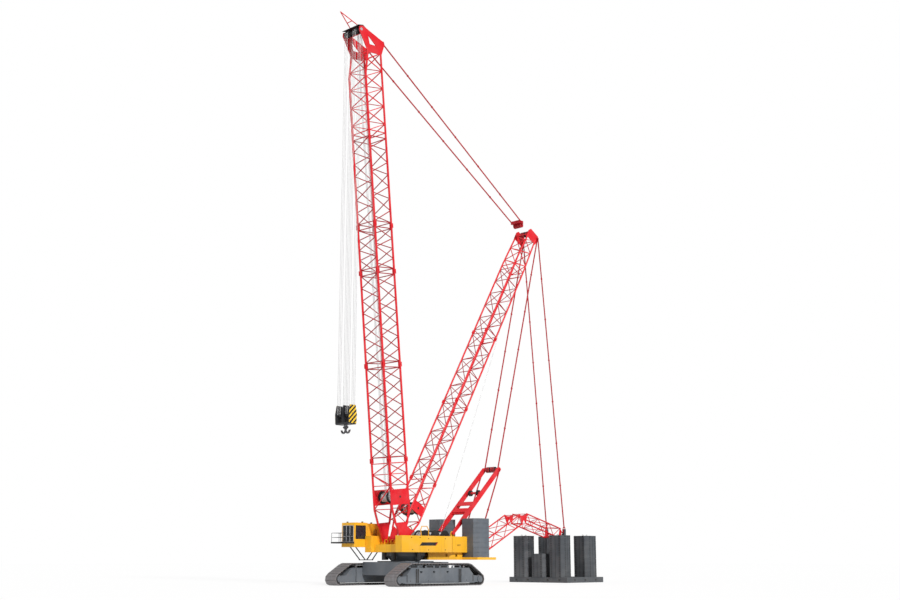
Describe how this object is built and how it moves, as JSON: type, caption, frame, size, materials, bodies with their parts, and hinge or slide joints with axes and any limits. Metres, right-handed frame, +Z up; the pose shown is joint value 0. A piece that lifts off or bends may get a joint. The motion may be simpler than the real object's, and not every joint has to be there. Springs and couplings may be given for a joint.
{
  "type": "scale model crawler crane with lattice boom and superlift mast",
  "caption": "Half-size lattice-boom crawler crane: slewing upper works, luffing boom, hoisted double hook, superlift mast and ballast tray on a folding guide frame.",
  "frame": {"origin": "on the ground, below the middle of the whole footprint", "axes": "+X the way the boom faces, +Y the crane's left, +Z up"},
  "size_m": [23.6128, 6.3, 36.508],
  "materials": {
    "yellow": "satin yellow paint",
    "red": "satin red paint",
    "slate": "satin slate-blue paint",
    "dark": "dark worn steel",
    "block": "yellow paint with black stripes",
    "rope": "greased wire rope",
    "glass": "tinted",
    "seat": "woven black"
  },
  "bodies": {
    "undercarriage": {"carbody": "slate", "crawler_frames": "slate", "track_left": "dark", "track_right": "dark", "track_wheels": "dark"},
    "superstructure": {"access_ladder": "dark", "cab_carrier": "yellow", "cab_glass": "glass", "cab_housing": "yellow", "cab_seat": "seat", "cab_shell": "yellow", "counterweight_base": "yellow", "counterweights": "slate", "deck_frame": "yellow", "deck_lugs": "yellow", "drum_stands": "yellow", "gantry": "red", "gantry_ties": "red", "mast_base": "red", "mast_head": "red", "mast_section_lower": "red", "mast_section_middle": "red", "mast_section_upper": "red", "mast_stays": "red", "slew_drives": "slate", "tail_fittings": "yellow", "walkway": "dark"},
    "door": {"cab_door": "yellow", "cab_door_glass": "glass"},
    "boom": {"boom_base": "red", "boom_head": "red", "boom_section_lower": "red", "boom_section_middle": "red", "boom_section_short": "red", "boom_section_upper": "red", "boom_tip": "red"},
    "stays": {"boom_stays": "red", "luffing_block": "red"},
    "sheaves": {"head_sheaves": "dark"},
    "falls": {"hoist_ropes": "rope"},
    "block": {"hook_block": "block"},
    "hook": {"ram_hook": "block"},
    "boom_winch": {"boom_drum": "dark"},
    "mast_winch": {"mast_drum": "dark"},
    "deck_winch_front": {"deck_drum_front": "dark"},
    "deck_winch_middle": {"deck_drum_middle": "dark"},
    "deck_winch_rear": {"deck_drum_rear": "dark"},
    "tray": {"tray_base": "slate", "tray_weights": "slate"},
    "inner_arm": {"guide_inner": "red"},
    "outer_arm": {"guide_outer": "red"},
    "tray_ties": {"tray_stays": "red"}
  },
  "joints": [
    {"name": "slew", "type": "hinge", "parent": "undercarriage", "child": "superstructure", "pos_m": [5.44361, 0, 2.02], "axis": [0, 0, 1], "continuous": true},
    {"name": "boom_luff", "type": "hinge", "parent": "superstructure", "child": "boom", "pos_m": [6.49361, 0, 2.695], "axis": [0, 1, 0], "range_deg": [0, 55]},
    {"name": "boom_stays_swing", "type": "hinge", "parent": "boom", "child": "stays", "pos_m": [8.69164, 0, 35.0366], "axis": [0, 1, 0], "range_deg": [-14, 0]},
    {"name": "hook_plumb", "type": "hinge", "parent": "boom", "child": "falls", "pos_m": [10.66175, 0, 35.39269], "axis": [0, 1, 0], "range_deg": [-56, 0]},
    {"name": "hoist", "type": "slide", "parent": "falls", "child": "block", "axis": [0, 0, 1], "range_m": [-8.8, 22.943], "deforming": ["hoist_ropes"]},
    {"name": "hook_swivel", "type": "hinge", "parent": "block", "child": "hook", "pos_m": [10.66175, 0, 9.63], "axis": [0, 0, 1], "continuous": true},
    {"name": "head_sheaves_turn", "type": "hinge", "parent": "boom", "child": "sheaves", "pos_m": [10.66175, 0, 35.39269], "axis": [0, 1, 0], "continuous": true},
    {"name": "boom_winch_turn", "type": "hinge", "parent": "boom", "child": "boom_winch", "pos_m": [6.76376, 0, 5.40155], "axis": [0, 1, 0], "continuous": true},
    {"name": "mast_winch_turn", "type": "hinge", "parent": "superstructure", "child": "mast_winch", "pos_m": [4.95797, 0, 4.74898], "axis": [0, 1, 0], "continuous": true},
    {"name": "deck_winch_front_turn", "type": "hinge", "parent": "superstructure", "child": "deck_winch_front", "pos_m": [4.29361, 0, 3.01], "axis": [0, 1, 0], "continuous": true},
    {"name": "deck_winch_middle_turn", "type": "hinge", "parent": "superstructure", "child": "deck_winch_middle", "pos_m": [3.39361, 0, 3.01], "axis": [0, 1, 0], "continuous": true},
    {"name": "deck_winch_rear_turn", "type": "hinge", "parent": "superstructure", "child": "deck_winch_rear", "pos_m": [2.49361, 0, 3.01], "axis": [0, 1, 0], "continuous": true},
    {"name": "cab_door_slide", "type": "slide", "parent": "superstructure", "child": "door", "axis": [-1, 0, 0], "range_m": [0, 0.8]},
    {"name": "tray_reach", "type": "slide", "parent": "superstructure", "child": "tray", "axis": [-1, 0, 0], "range_m": [-0.7, 0.25]},
    {"name": "guide_inner_fold", "type": "hinge", "parent": "superstructure", "child": "inner_arm", "pos_m": [-0.78639, 0, 2.15], "axis": [0, 1, 0], "range_deg": [-4.02, 10.71]},
    {"name": "guide_outer_fold", "type": "hinge", "parent": "inner_arm", "child": "outer_arm", "pos_m": [-5.35639, 0, 4.45], "axis": [0, 1, 0], "range_deg": [-21.37, 7.82]},
    {"name": "tray_ties_swing", "type": "hinge", "parent": "superstructure", "child": "tray_ties", "pos_m": [-7.38125, 0, 24.81454], "axis": [0, 1, 0], "range_deg": [-2.01, 0.78]}
  ],
  "couplings": [
    {"joint": "boom_stays_swing", "follows": "boom_luff", "ratio": -0.22954},
    {"joint": "hook_plumb", "follows": "boom_luff", "ratio": -1},
    {"joint": "guide_inner_fold", "follows": "tray_reach", "rad_per_m": -0.2545},
    {"joint": "guide_outer_fold", "follows": "tray_reach", "rad_per_m": 0.51499},
    {"joint": "tray_ties_swing", "follows": "tray_reach", "rad_per_m": 0.046742}
  ]
}
